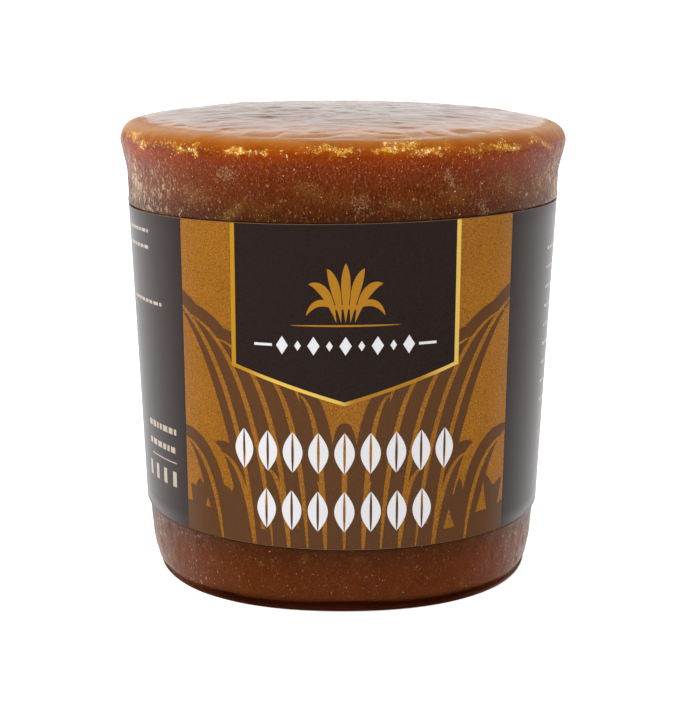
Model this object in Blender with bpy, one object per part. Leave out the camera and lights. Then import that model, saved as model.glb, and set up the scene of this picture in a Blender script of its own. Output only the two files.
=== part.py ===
"""Block of jaggery, cast cane sugar, with a paper band glued round its side.

Metres, +Z up.  The block stands on the origin and its front faces -Y.  It widens upwards to a
rolled rim, its top swells a little, and a thin foot lies under a crease at its base.  The band
sits in a shallow step of the wall and laps over itself at the back.
"""

import math

import bmesh
import bpy
import numpy as np

MM = 0.001
AROUND = 72

# Heights above the face that the block stands on
FOOT_HEIGHT = 1.6 * MM
CORNER_HEIGHT = 4.5 * MM
BAND_FOOT = 11.8 * MM
BAND_HEIGHT = 54.8 * MM
BAND_TOP = BAND_FOOT + BAND_HEIGHT
RIM_HEIGHT = 77.5 * MM
TOP_HEIGHT = 81.65 * MM
TOP_SWELL = 1.4 * MM
TILT_START = BAND_TOP + 5.0 * MM
SLANT_END = BAND_TOP + 6.0 * MM

# Radii
FOOT_RADIUS = 35.1 * MM
CREASE_DEPTH = 0.6 * MM
CORNER_RADIUS = 35.5 * MM
WALL_RADIUS_AT_BAND_FOOT = 35.85 * MM
WALL_RADIUS_AT_BAND_TOP = 38.05 * MM
LEDGE = 0.25 * MM
SHOULDER_RADIUS = 38.7 * MM
RIM_RADIUS = 40.0 * MM
TOP_FLAT_RADIUS = 33.0 * MM

# How far the cast shape is from a true turned one
BASE_SHIFT = 0.3 * MM
FOOT_SHIFT = 0.3 * MM
FOOT_WAVE = 0.5 * MM
FOOT_PINCH = 0.9 * MM
FOOT_FADE = 1.2 * CORNER_HEIGHT
CREASE_DIP = 0.75 * MM
WALL_WAVE = 0.08 * MM
TOP_TILT_BACK = 1.0 * MM
TOP_TILT_LEFT = 0.23 * MM
BAND_TOP_SLANT = 0.54 * MM
BAND_FOOT_SLANT = -0.25 * MM

# Paper band
GAP = 0.3 * MM
PAPER_THICKNESS = 0.25 * MM
LAP_WIDTH = 9.0 * MM
LAP_RISE = 0.2 * MM

CARAMEL = (0.235, 0.075, 0.022, 1.0)
PRINTED_PAPER = (0.030, 0.020, 0.018, 1.0)


def smooth_outline(stations, steps):
    """Points of a smooth curve through (radius, height) stations, `steps` to each stretch."""
    stations = np.array(stations)
    chords = np.hypot(*np.diff(stations, axis=0).T)
    at = np.concatenate(([0.0], np.cumsum(np.sqrt(chords))))
    last = len(stations) - 1
    slopes = [
        (stations[min(i + 1, last)] - stations[max(i - 1, 0)]) / (at[min(i + 1, last)] - at[max(i - 1, 0)])
        for i in range(last + 1)
    ]
    points = []
    for i in range(last):
        span = at[i + 1] - at[i]
        for step in range(steps):
            t = step / steps
            points.append(
                (2 * t**3 - 3 * t**2 + 1) * stations[i]
                + (t**3 - 2 * t**2 + t) * span * slopes[i]
                + (3 * t**2 - 2 * t**3) * stations[i + 1]
                + (t**3 - t**2) * span * slopes[i + 1]
            )
    return points + [stations[-1]]


def foot_outline():
    """Thin rounded foot, from the face it stands on up into the crease."""
    return smooth_outline(
        [
            (FOOT_RADIUS - 0.9 * MM, 0.0),
            (FOOT_RADIUS - 0.25 * MM, 0.15 * FOOT_HEIGHT),
            (FOOT_RADIUS, 0.5 * FOOT_HEIGHT),
            (FOOT_RADIUS - 0.15 * MM, 0.8 * FOOT_HEIGHT),
            (FOOT_RADIUS - CREASE_DEPTH, FOOT_HEIGHT),
        ],
        2,
    )


def corner_outline():
    """Rounded lower corner, out of the crease and up to the wall."""
    return smooth_outline(
        [
            (FOOT_RADIUS - CREASE_DEPTH, FOOT_HEIGHT),
            (CORNER_RADIUS - 0.55 * MM, FOOT_HEIGHT + 0.3 * MM),
            (CORNER_RADIUS - 0.3 * MM, FOOT_HEIGHT + 1.2 * MM),
            (CORNER_RADIUS, CORNER_HEIGHT),
        ],
        2,
    )[1:]


def ledge_outline():
    """Top of the lower wall, a little proud of the wall behind the band."""
    return [(WALL_RADIUS_AT_BAND_FOOT + LEDGE, BAND_FOOT - 0.4 * MM)]


def wall_outline():
    """Wall behind the band, a plain taper."""
    heights = np.linspace(BAND_FOOT, BAND_TOP, 7)
    share = (heights - BAND_FOOT) / BAND_HEIGHT
    radii = WALL_RADIUS_AT_BAND_FOOT + share * (WALL_RADIUS_AT_BAND_TOP - WALL_RADIUS_AT_BAND_FOOT)
    return list(zip(radii, heights))


def rim_outline():
    """Shoulder above the band, hollow neck, rolled rim and the edge of the top."""
    return smooth_outline(
        [
            (SHOULDER_RADIUS - 0.15 * MM, BAND_TOP + 0.3 * MM),
            (SHOULDER_RADIUS, BAND_TOP + 0.55 * MM),
            (SHOULDER_RADIUS + 0.15 * MM, BAND_TOP + 3.2 * MM),
            (RIM_RADIUS - 1.0 * MM, RIM_HEIGHT - 4.7 * MM),
            (RIM_RADIUS - 0.35 * MM, RIM_HEIGHT - 1.9 * MM),
            (RIM_RADIUS, RIM_HEIGHT),
            (RIM_RADIUS - 0.22 * MM, RIM_HEIGHT + 1.1 * MM),
            (RIM_RADIUS - 0.9 * MM, RIM_HEIGHT + 2.3 * MM),
            (RIM_RADIUS - 2.2 * MM, RIM_HEIGHT + 3.15 * MM),
            (RIM_RADIUS - 4.0 * MM, RIM_HEIGHT + 3.57 * MM),
            (TOP_FLAT_RADIUS, TOP_HEIGHT),
        ],
        2,
    )


def top_outline():
    """Gently swollen top, from the rim in towards the middle."""
    radii = TOP_FLAT_RADIUS * np.array([0.82, 0.64, 0.46, 0.28, 0.12])
    return [(r, TOP_HEIGHT + TOP_SWELL * (1 - (r / TOP_FLAT_RADIUS) ** 2)) for r in radii]


def edge_slant(height):
    """How much the casting's levels rise towards +X at this height, as the band's edges do."""
    heights = [0.0, BAND_FOOT, BAND_TOP, SLANT_END]
    return np.interp(height, heights, [0.0, BAND_FOOT_SLANT, BAND_TOP_SLANT, 0.0])


def foot_swing(azimuth):
    """How far the foot's edge lies inside its circle: a rounded square, drawn in at the sides."""
    return FOOT_WAVE * math.cos(4 * azimuth) + FOOT_PINCH * math.sin(azimuth) ** 4


def crease_drop(azimuth, height):
    """How far the crease and what is next to it lie lower at the sides than at the front."""
    near = np.interp(height, [0.0, FOOT_HEIGHT, CORNER_HEIGHT], [0.0, 1.0, 0.0])
    return CREASE_DIP * near * (1 - math.cos(azimuth) ** 4)


def cast_point(azimuth, radius, height):
    """Place one outline point round the axis, with the casting's lean, waves and tilted top.

    The azimuth is 0 at the front and grows towards +X.
    """
    low = max(1 - height / FOOT_FADE, 0.0) ** 2
    above = min(max((height - TILT_START) / (TOP_HEIGHT - TILT_START), 0.0), 1.0)
    rising = above * above * (3 - 2 * above)
    wave = WALL_WAVE * math.sin(2 * azimuth + 0.6) * math.sin(math.pi * min(height / TOP_HEIGHT, 1.0))
    reach = radius + wave * min(radius / FOOT_RADIUS, 1.0) - low * foot_swing(azimuth)
    x = reach * math.sin(azimuth) - BASE_SHIFT * (1 - height / TOP_HEIGHT) + FOOT_SHIFT * low
    y = -reach * math.cos(azimuth)
    z = height + edge_slant(height) * math.sin(azimuth) - crease_drop(azimuth, height)
    z += rising * (TOP_TILT_BACK * y - TOP_TILT_LEFT * x) / RIM_RADIUS
    return x, y, z


def ring(bm, azimuths, radius, height):
    """Vertices of one closed ring of the casting."""
    return [bm.verts.new(cast_point(azimuth, radius, height)) for azimuth in azimuths]


def bridge(bm, lower, upper):
    """Faces between two rings of the same length."""
    count = len(lower)
    for i in range(count):
        j = (i + 1) % count
        bm.faces.new((lower[i], lower[j], upper[j], upper[i]))


def finish_object(name, bm, material):
    """Turn a bmesh into a named object with smooth shading and its own material."""
    bmesh.ops.recalc_face_normals(bm, faces=bm.faces)
    mesh = bpy.data.meshes.new(name)
    bm.to_mesh(mesh)
    bm.free()
    mesh.shade_smooth()
    mesh.set_sharp_from_angle(angle=math.radians(40))
    mesh.materials.append(material)
    shape = bpy.data.objects.new(name, mesh)
    bpy.context.scene.collection.objects.link(shape)
    return shape


def plain_material(name, colour, roughness):
    """Principled material with a flat colour."""
    material = bpy.data.materials.new(name)
    material.use_nodes = True
    shader = material.node_tree.nodes["Principled BSDF"]
    shader.inputs["Base Color"].default_value = colour
    shader.inputs["Roughness"].default_value = roughness
    shader.inputs["Metallic"].default_value = 0.0
    return material


def make_block():
    """The cast block, one solid turned about Z and then made uneven."""
    bm = bmesh.new()
    azimuths = [2 * math.pi * i / AROUND for i in range(AROUND)]
    side = foot_outline() + corner_outline() + ledge_outline() + wall_outline()
    outline = side + rim_outline() + top_outline()
    rings = [ring(bm, azimuths, radius, height) for radius, height in outline]
    for lower, upper in zip(rings, rings[1:]):
        bridge(bm, lower, upper)
    bm.faces.new(list(reversed(rings[0])))
    middle = bm.verts.new(cast_point(0.0, 0.0, TOP_HEIGHT + TOP_SWELL))
    last = rings[-1]
    for i in range(AROUND):
        bm.faces.new((last[i], last[(i + 1) % AROUND], middle))
    return finish_object("jaggery_block", bm, plain_material("cast_sugar", CARAMEL, 0.35))


def lap_azimuths():
    """Azimuths round the band, with a close pair at each end of the lap at the back."""
    half_lap = LAP_WIDTH / 2 / WALL_RADIUS_AT_BAND_TOP
    fold = 0.06 * MM / WALL_RADIUS_AT_BAND_TOP
    even = [2 * math.pi * i / AROUND for i in range(AROUND)]
    clear = [a for a in even if abs(a - math.pi) > half_lap + 0.5 * math.pi / AROUND]
    edges = [math.pi + side * (half_lap + step) for side in (-1, 1) for step in (0.0, fold)]
    inside = [math.pi + share * half_lap for share in (-0.5, 0.0, 0.5)]
    return sorted(clear + edges + inside), half_lap


def make_band():
    """Printed paper band in the step of the wall, doubled where its ends lap at the back."""
    bm = bmesh.new()
    azimuths, half_lap = lap_azimuths()
    corners = []
    wall = wall_outline()
    for radius, height in wall:
        corners.append((radius, height, False))
    for radius, height in reversed(wall):
        corners.append((radius, height, True))
    rings = []
    for radius, height, outside in corners:
        reach = radius + GAP + (PAPER_THICKNESS if outside else 0.0)
        verts = []
        for azimuth in azimuths:
            lapped = outside and abs(azimuth - math.pi) <= half_lap
            verts.append(bm.verts.new(cast_point(azimuth, reach + (LAP_RISE if lapped else 0.0), height)))
        rings.append(verts)
    for lower, upper in zip(rings, rings[1:] + rings[:1]):
        bridge(bm, lower, upper)
    return finish_object("paper_band", bm, plain_material("printed_paper", PRINTED_PAPER, 0.3))


def clear_scene():
    """Remove whatever objects the file holds."""
    for stray in list(bpy.data.objects):
        bpy.data.objects.remove(stray, do_unlink=True)


clear_scene()
make_block()
make_band()
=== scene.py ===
"""Jaggery block with a printed paper band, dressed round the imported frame.

The block is cast cane sugar: a turned shape that widens to a rolled rim, uneven as a casting is,
with lighter crystals showing at its skin.  A paper band is glued round it.  All lengths in the
classes are millimetres, heights are above the face that the block stands on, azimuths are
radians with 0 at the front (-Y) and growing towards +X, and meshes are written in metres.
"""

import itertools
import logging
import math
from dataclasses import dataclass, replace
from enum import Enum

import bmesh
import bpy
import numpy as np
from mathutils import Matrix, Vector
from mathutils.geometry import delaunay_2d_cdt


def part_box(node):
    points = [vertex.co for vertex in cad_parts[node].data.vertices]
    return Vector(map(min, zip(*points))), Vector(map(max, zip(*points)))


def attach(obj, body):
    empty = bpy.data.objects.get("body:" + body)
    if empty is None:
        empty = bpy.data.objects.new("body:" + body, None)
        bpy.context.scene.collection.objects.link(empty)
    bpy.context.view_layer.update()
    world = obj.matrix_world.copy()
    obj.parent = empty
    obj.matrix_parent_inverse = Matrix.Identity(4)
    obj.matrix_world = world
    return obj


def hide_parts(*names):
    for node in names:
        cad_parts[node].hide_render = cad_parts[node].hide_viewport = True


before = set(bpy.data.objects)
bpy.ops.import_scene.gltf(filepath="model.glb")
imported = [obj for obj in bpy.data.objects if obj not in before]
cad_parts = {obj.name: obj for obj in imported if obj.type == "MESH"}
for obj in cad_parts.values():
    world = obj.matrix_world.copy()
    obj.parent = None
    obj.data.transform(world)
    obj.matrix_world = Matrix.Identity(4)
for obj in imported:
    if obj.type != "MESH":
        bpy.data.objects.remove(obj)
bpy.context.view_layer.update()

LOG = logging.getLogger("jaggery_block")
MM = 0.001
BODY = "root"

Colour = tuple[float, float, float]
Outline = np.ndarray
Limits = tuple[float, float, float, float]
Socket = bpy.types.NodeSocket
Piece = bpy.types.Object


# ---------------------------------------------------------------------------
# Curves, noise and meshes
# ---------------------------------------------------------------------------


def smooth_through(stations: Outline, steps: int) -> Outline:
    """Smooth curve through stations, as many points to each stretch.

    Cubic Hermite: each stretch runs from one station to the next with the slope at a station
    taken from the chord between its neighbours, over the root of the chord lengths.

    Args:
        stations: (n, 2) points to pass through.
        steps: points to each stretch between two stations.

    Returns:
        ((n - 1) * steps + 1, 2) points.
    """
    stations = np.asarray(stations, float)
    chords = np.hypot(*np.diff(stations, axis=0).T)
    at = np.concatenate(([0.0], np.cumsum(np.sqrt(chords))))
    after = np.minimum(np.arange(len(stations)) + 1, len(stations) - 1)
    before = np.maximum(np.arange(len(stations)) - 1, 0)
    slopes = (stations[after] - stations[before]) / (at[after] - at[before])[:, None]
    span = np.diff(at)[:, None, None]
    t = (np.arange(steps) / steps)[None, :, None]
    start, end = stations[:-1, None], stations[1:, None]
    leave, arrive = slopes[:-1, None], slopes[1:, None]
    curve = (
        (2 * t**3 - 3 * t**2 + 1) * start
        + (t**3 - 2 * t**2 + t) * span * leave
        + (3 * t**2 - 2 * t**3) * end
        + (t**3 - t**2) * span * arrive
    )
    return np.vstack((curve.reshape(-1, 2), stations[-1:]))


def resampled(points: Outline, spacing: float) -> Outline:
    """The same open line with points an even distance apart, ends kept.

    Args:
        points: (n, 2) line.
        spacing: wished distance between points.

    Returns:
        (m, 2) line, by linear interpolation over the running length.
    """
    run = np.concatenate(([0.0], np.cumsum(np.hypot(*np.diff(points, axis=0).T))))
    at = np.linspace(0.0, run[-1], max(2, round(run[-1] / spacing) + 1))
    return np.column_stack([np.interp(at, run, points[:, axis]) for axis in (0, 1)])


def smoothstep(low: float, high: float, value: np.ndarray) -> np.ndarray:
    """0 below low, 1 above high, and 3t^2 - 2t^3 between."""
    t = np.clip((value - low) / (high - low), 0.0, 1.0)
    return t * t * (3 - 2 * t)


def bell(value: np.ndarray, middle: float, width: float) -> np.ndarray:
    """1 at the middle, falling as exp(-d^2) with the distance d in widths."""
    return np.exp(-(((value - middle) / width) ** 2))


def wrapped(angle: np.ndarray) -> np.ndarray:
    """The angle brought to -pi..pi by whole turns."""
    return (angle + np.pi) % (2 * np.pi) - np.pi


def corner_values(cells: np.ndarray, seed: int) -> np.ndarray:
    """A fixed number in -1..1 for each whole (x, y, z), by an integer hash of the three and a seed."""
    mixed = cells[..., 0] * 73856093 ^ cells[..., 1] * 19349663 ^ cells[..., 2] * 83492791
    mixed = (mixed ^ seed * 2654435761) & 0xFFFFFFFF
    mixed = ((mixed ^ (mixed >> 15)) * 2246822519) & 0xFFFFFFFF
    mixed = ((mixed ^ (mixed >> 13)) * 3266489917) & 0xFFFFFFFF
    return ((mixed ^ (mixed >> 16)) & 0xFFFFFF) / float(0xFFFFFF) * 2 - 1


def lumps(points: np.ndarray, cell: float, seed: int) -> np.ndarray:
    """Smooth value noise in -1..1.

    Each corner of a cubic lattice has a fixed number, and inside a cell the eight corners are
    blended along each axis by 3t^2 - 2t^3.

    Args:
        points: (..., 3) places.
        cell: side of a lattice cell, in the same unit.
        seed: picks another pattern.

    Returns:
        (...) values.
    """
    scaled = points / cell
    base = np.floor(scaled).astype(np.int64)
    t = scaled - base
    t = t * t * (3 - 2 * t)
    total = np.zeros(points.shape[:-1])
    for corner in itertools.product((0, 1), repeat=3):
        weight = np.prod(np.where(np.array(corner) == 1, t, 1 - t), axis=-1)
        total += weight * corner_values(base + np.array(corner), seed)
    return total


def new_piece(name: str, vertices: np.ndarray, faces: list, sharp_angle: float = 35.0) -> Piece:
    """Make a mesh object at the origin from places in millimetres.

    Args:
        name: object and mesh name.
        vertices: (n, 3) places in millimetres.
        faces: vertex index tuples, counter-clockwise seen from outside.
        sharp_angle: degrees past which an edge is shaded sharp.

    Returns:
        The linked object, smooth shaded.
    """
    mesh = bpy.data.meshes.new(name)
    mesh.from_pydata((vertices * MM).tolist(), [], faces)
    mesh.validate()
    mesh.shade_smooth()
    mesh.set_sharp_from_angle(angle=math.radians(sharp_angle))
    piece = bpy.data.objects.new(name, mesh)
    bpy.context.scene.collection.objects.link(piece)
    return piece


def ring_faces(rows: int, columns: int) -> list:
    """Quads between successive closed rings of a (rows, columns) grid that wraps across."""
    row, column = np.meshgrid(np.arange(rows - 1), np.arange(columns), indexing="ij")
    here = row * columns + column
    beside = row * columns + (column + 1) % columns
    return np.stack((here, beside, beside + columns, here + columns), axis=-1).reshape(-1, 4).tolist()


def fan_faces(columns: int, first: int, pole: int, upward: bool) -> list:
    """Triangles from one closed ring to a pole.

    Args:
        columns: vertices in the ring.
        first: index of the ring's first vertex.
        pole: index of the pole.
        upward: whether the fan faces up.

    Returns:
        Vertex index triples, counter-clockwise seen from outside.
    """
    column = np.arange(columns)
    beside = (column + 1) % columns
    pair = (column, beside) if upward else (beside, column)
    return np.column_stack((pair[0] + first, pair[1] + first, np.full(columns, pole))).tolist()


def add_value(piece: Piece, name: str, values: np.ndarray) -> None:
    """Store one number for each vertex, which a material reads by its name."""
    attribute = piece.data.attributes.new(name, "FLOAT", "POINT")
    attribute.data.foreach_set("value", values.astype(np.float32).ravel())


def place(piece: Piece, slot: str, node: str | None = None) -> None:
    """Ride the piece on the block's body and report it.

    Args:
        piece: a finished object at the origin.
        slot: material slot of the record; not used.
        node: CAD node that it stands for, if any.
    """
    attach(piece, BODY)
    if node:
        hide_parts(node)
    LOG.info("%s: %d vertices, %d faces", piece.name, len(piece.data.vertices), len(piece.data.polygons))


# ---------------------------------------------------------------------------
# The casting's form
# ---------------------------------------------------------------------------


@dataclass(frozen=True)
class Casting:
    """Form of the cast block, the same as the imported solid's.

    Heights and radii follow from the two nodes' boxes; the rest are the casting's own sizes.
    """

    rim_radius: float
    height: float
    band_foot: float
    band_top: float
    foot_radius: float = 35.1
    foot_height: float = 1.6
    crease_depth: float = 0.6
    corner_radius: float = 35.5
    corner_height: float = 4.5
    wall_radius_low: float = 35.85
    wall_radius_high: float = 38.05
    ledge: float = 0.25
    shoulder_radius: float = 38.7
    rim_height: float = 77.5
    top_height: float = 81.65
    top_flat_radius: float = 33.0
    top_swell: float = 1.4
    base_shift: float = 0.3
    foot_shift: float = 0.3
    foot_wave: float = 0.5
    foot_pinch: float = 0.9
    foot_fade: float = 5.4
    crease_dip: float = 0.75
    wall_wave: float = 0.08
    tilt_back: float = 1.0
    tilt_left: float = 0.23
    top_slant: float = 0.54
    foot_slant: float = -0.25
    slant_fade: float = 6.0
    tilt_from: float = 5.0
    wave_turn: float = 0.6

    @classmethod
    def from_frame(cls) -> "Casting":
        """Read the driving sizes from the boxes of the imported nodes."""
        block_low, block_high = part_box("jaggery_block")
        band_low, band_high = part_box("paper_band")
        return cls(
            rim_radius=(block_high.x - block_low.x) / 2 / MM,
            height=block_high.z / MM,
            band_foot=band_low.z / MM - cls.foot_slant,
            band_top=band_high.z / MM - cls.top_slant,
        )

    def wall_radius(self, height: np.ndarray) -> np.ndarray:
        """Radius of the wall behind the band, a straight taper in height."""
        share = (height - self.band_foot) / (self.band_top - self.band_foot)
        return self.wall_radius_low + share * (self.wall_radius_high - self.wall_radius_low)

    def foot(self) -> Outline:
        """Thin rounded foot, from the face it stands on into the crease."""
        radius, height = self.foot_radius, self.foot_height
        return smooth_through(
            [
                (radius - 0.9, 0.0),
                (radius - 0.25, 0.15 * height),
                (radius, 0.5 * height),
                (radius - 0.15, 0.8 * height),
                (radius - self.crease_depth, height),
            ],
            10,
        )

    def corner(self) -> Outline:
        """Rounded lower corner, out of the crease and up to the wall."""
        radius, height = self.foot_radius, self.foot_height
        return smooth_through(
            [
                (radius - self.crease_depth, height),
                (self.corner_radius - 0.55, height + 0.3),
                (self.corner_radius - 0.3, height + 1.2),
                (self.corner_radius, self.corner_height),
            ],
            10,
        )

    def rim(self) -> Outline:
        """Shoulder over the band, hollow neck, rolled rim and the edge of the top."""
        shoulder, rim, level = self.shoulder_radius, self.rim_radius, self.rim_height
        return smooth_through(
            [
                (shoulder - 0.15, self.band_top + 0.3),
                (shoulder, self.band_top + 0.55),
                (shoulder + 0.15, self.band_top + 3.2),
                (rim - 1.0, level - 4.7),
                (rim - 0.35, level - 1.9),
                (rim, level),
                (rim - 0.22, level + 1.1),
                (rim - 0.9, level + 2.3),
                (rim - 2.2, level + 3.15),
                (rim - 4.0, level + 3.57),
                (self.top_flat_radius, self.top_height),
            ],
            12,
        )

    def top(self) -> Outline:
        """Swollen top from the rim inwards: its height falls with the square of the radius."""
        radius = np.linspace(self.top_flat_radius, 0.9, 64)
        swell = self.top_swell * (1 - (radius / self.top_flat_radius) ** 2)
        return np.column_stack((radius, self.top_height + swell))

    def slant(self, height: np.ndarray) -> np.ndarray:
        """How far the levels rise towards +X at this height, as the band's two edges do."""
        heights = [0.0, self.band_foot, self.band_top, self.band_top + self.slant_fade]
        return np.interp(height, heights, [0.0, self.foot_slant, self.top_slant, 0.0])

    def places(self, azimuth: np.ndarray, radius: np.ndarray, height: np.ndarray) -> np.ndarray:
        """Places of outline points round the axis.

        The circle of each height leans to one side, has a two-lobed wave that is widest at
        half height, rises towards +X by the slant, and near the top tilts up at the back.  Near
        the base it turns into a rounded square, by minus the cosine of four times the azimuth,
        drawn in at the sides by its sine to the fourth, where the crease lies lower too.

        Args:
            azimuth: angle from the front towards +X.
            radius: distance from the axis in the true turned shape.
            height: height in the true turned shape.

        Returns:
            (..., 3) places.
        """
        share = height / self.top_height
        wave = self.wall_wave * np.sin(2 * azimuth + self.wave_turn) * np.sin(np.pi * np.minimum(share, 1.0))
        low = np.maximum(1 - height / self.foot_fade, 0.0) ** 2
        swing = self.foot_wave * np.cos(4 * azimuth) + self.foot_pinch * np.sin(azimuth) ** 4
        reach = radius + wave * np.minimum(radius / self.foot_radius, 1.0) - low * swing
        x = reach * np.sin(azimuth) - self.base_shift * (1 - share) + self.foot_shift * low
        y = -reach * np.cos(azimuth)
        near_crease = np.interp(height, [0.0, self.foot_height, self.corner_height], [0.0, 1.0, 0.0])
        dip = self.crease_dip * near_crease * (1 - np.cos(azimuth) ** 4)
        rising = smoothstep(self.band_top + self.tilt_from, self.top_height, height)
        tilt = rising * (self.tilt_back * y - self.tilt_left * x) / self.rim_radius
        z = height + self.slant(height) * np.sin(azimuth) - dip + tilt
        return np.stack(np.broadcast_arrays(x, y, z), axis=-1)


# ---------------------------------------------------------------------------
# Finishes
# ---------------------------------------------------------------------------


class NodeTree:
    """A shader node tree with short calls to add and to join its nodes."""

    def __init__(self, tree: bpy.types.NodeTree) -> None:
        """Wrap a tree.

        Args:
            tree: a material's node tree or a shader node group.
        """
        self.tree = tree

    def add(self, kind: str, values: dict | None = None, **settings: object) -> bpy.types.Node:
        """Add a node.

        Args:
            kind: node type, such as ShaderNodeMath.
            values: socket name or number to a constant, or to the output socket that feeds it.
            settings: properties of the node itself.

        Returns:
            The new node.
        """
        node = self.tree.nodes.new(kind)
        for key, value in settings.items():
            setattr(node, key, value)
        for key, value in (values or {}).items():
            if isinstance(value, Socket):
                self.join(value, node.inputs[key])
            else:
                node.inputs[key].default_value = value
        return node

    def join(self, source: Socket, target: Socket) -> None:
        """Link one socket to another."""
        self.tree.links.new(source, target)

    def math(self, operation: str, first: object, second: object, clamp: bool = False) -> Socket:
        """Output of one Math node on two numbers or sockets."""
        node = self.add("ShaderNodeMath", {0: first, 1: second}, operation=operation, use_clamp=clamp)
        return node.outputs[0]

    def times(self, first: object, second: object) -> Socket:
        """Product of two numbers or sockets."""
        return self.math("MULTIPLY", first, second)

    def scaled(self, vector: Socket, factor: object) -> Socket:
        """A vector or a colour times a number."""
        return self.add("ShaderNodeVectorMath", {0: vector, "Scale": factor}, operation="SCALE").outputs[0]

    def stretched(self, vector: Socket, shares: tuple[float, float, float]) -> Socket:
        """A vector times these three numbers, axis by axis."""
        return self.add("ShaderNodeVectorMath", {0: vector, 1: shares}, operation="MULTIPLY").outputs[0]

    def noise(self, place: Socket, pace: object, detail: float, roughness: float = 0.5) -> Socket:
        """Layered noise around a half, with this many waves to the metre in its broadest layer."""
        values = {"Vector": place, "Scale": pace, "Detail": detail, "Roughness": roughness}
        return self.add("ShaderNodeTexNoise", values).outputs["Fac"]

    def mix(self, factor: object, under: object, over: object) -> Socket:
        """Colour output of one Mix node, from the under colour to the over colour."""
        values = {0: factor, 6: under, 7: over}
        return self.add("ShaderNodeMix", values, data_type="RGBA", clamp_factor=True).outputs[2]

    def ramp(self, value: object, stops: list[tuple[float, Colour]], smooth: bool = True) -> Socket:
        """Colour output of a ColorRamp with these (position, colour) stops."""
        node = self.add("ShaderNodeValToRGB", {0: value})
        elements = node.color_ramp.elements
        node.color_ramp.interpolation = "EASE" if smooth else "LINEAR"
        elements[0].position, elements[0].color = stops[0][0], (*stops[0][1], 1.0)
        elements[1].position, elements[1].color = stops[-1][0], (*stops[-1][1], 1.0)
        for position, colour in stops[1:-1]:
            elements.new(position).color = (*colour, 1.0)
        return node.outputs[0]

    def share(self, value: object, low: float, high: float) -> Socket:
        """Share of the way from low to high, clamped to 0..1."""
        return self.add("ShaderNodeMapRange", {"Value": value, "From Min": low, "From Max": high}).outputs[0]

    def eased(
        self, value: object, low: object, high: object, to_low: float = 0.0, to_high: float = 1.0
    ) -> Socket:
        """A value brought from low..high to another range, clamped, with smooth ends."""
        values = {"Value": value, "From Min": low, "From Max": high, "To Min": to_low, "To Max": to_high}
        return self.add("ShaderNodeMapRange", values, interpolation_type="SMOOTHSTEP").outputs[0]


class Material(NodeTree):
    """A Principled material with its object coordinates at hand."""

    def __init__(self, name: str) -> None:
        """Make an empty Principled material.

        Args:
            name: the material's name.
        """
        self.material = bpy.data.materials.new(name)
        self.material.use_nodes = True
        super().__init__(self.material.node_tree)
        self.shader = self.tree.nodes["Principled BSDF"]
        self.place = self.add("ShaderNodeTexCoord").outputs["Object"]
        self._read: dict[str, Socket] = {}

    def axis(self, letter: str) -> Socket:
        """One coordinate on the piece, in metres."""
        return self.add("ShaderNodeSeparateXYZ", {0: self.place}).outputs[letter]

    def stored(self, name: str) -> Socket:
        """A number stored on the piece's vertices."""
        if name not in self._read:
            self._read[name] = self.add("ShaderNodeAttribute", attribute_name=name).outputs["Fac"]
        return self._read[name]

    def effect(self, group: bpy.types.NodeTree, **values: object) -> bpy.types.NodeOutputs:
        """Outputs of a shared group, fed with the piece's places and these values."""
        return self.add("ShaderNodeGroup", {"Place": self.place, **values}, node_tree=group).outputs

    def feed(self, **sources: Socket) -> None:
        """Link sockets to the shader's, with _ for each space of a name."""
        for name, source in sources.items():
            self.join(source, self.shader.inputs[name.replace("_", " ")])

    def set(self, **constants: object) -> None:
        """Set constants on the shader's sockets, with _ for each space of a name."""
        for name, value in constants.items():
            self.shader.inputs[name.replace("_", " ")].default_value = value

    def dress(self, piece: Piece) -> None:
        """Give the piece this material."""
        piece.data.materials.append(self.material)


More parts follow.
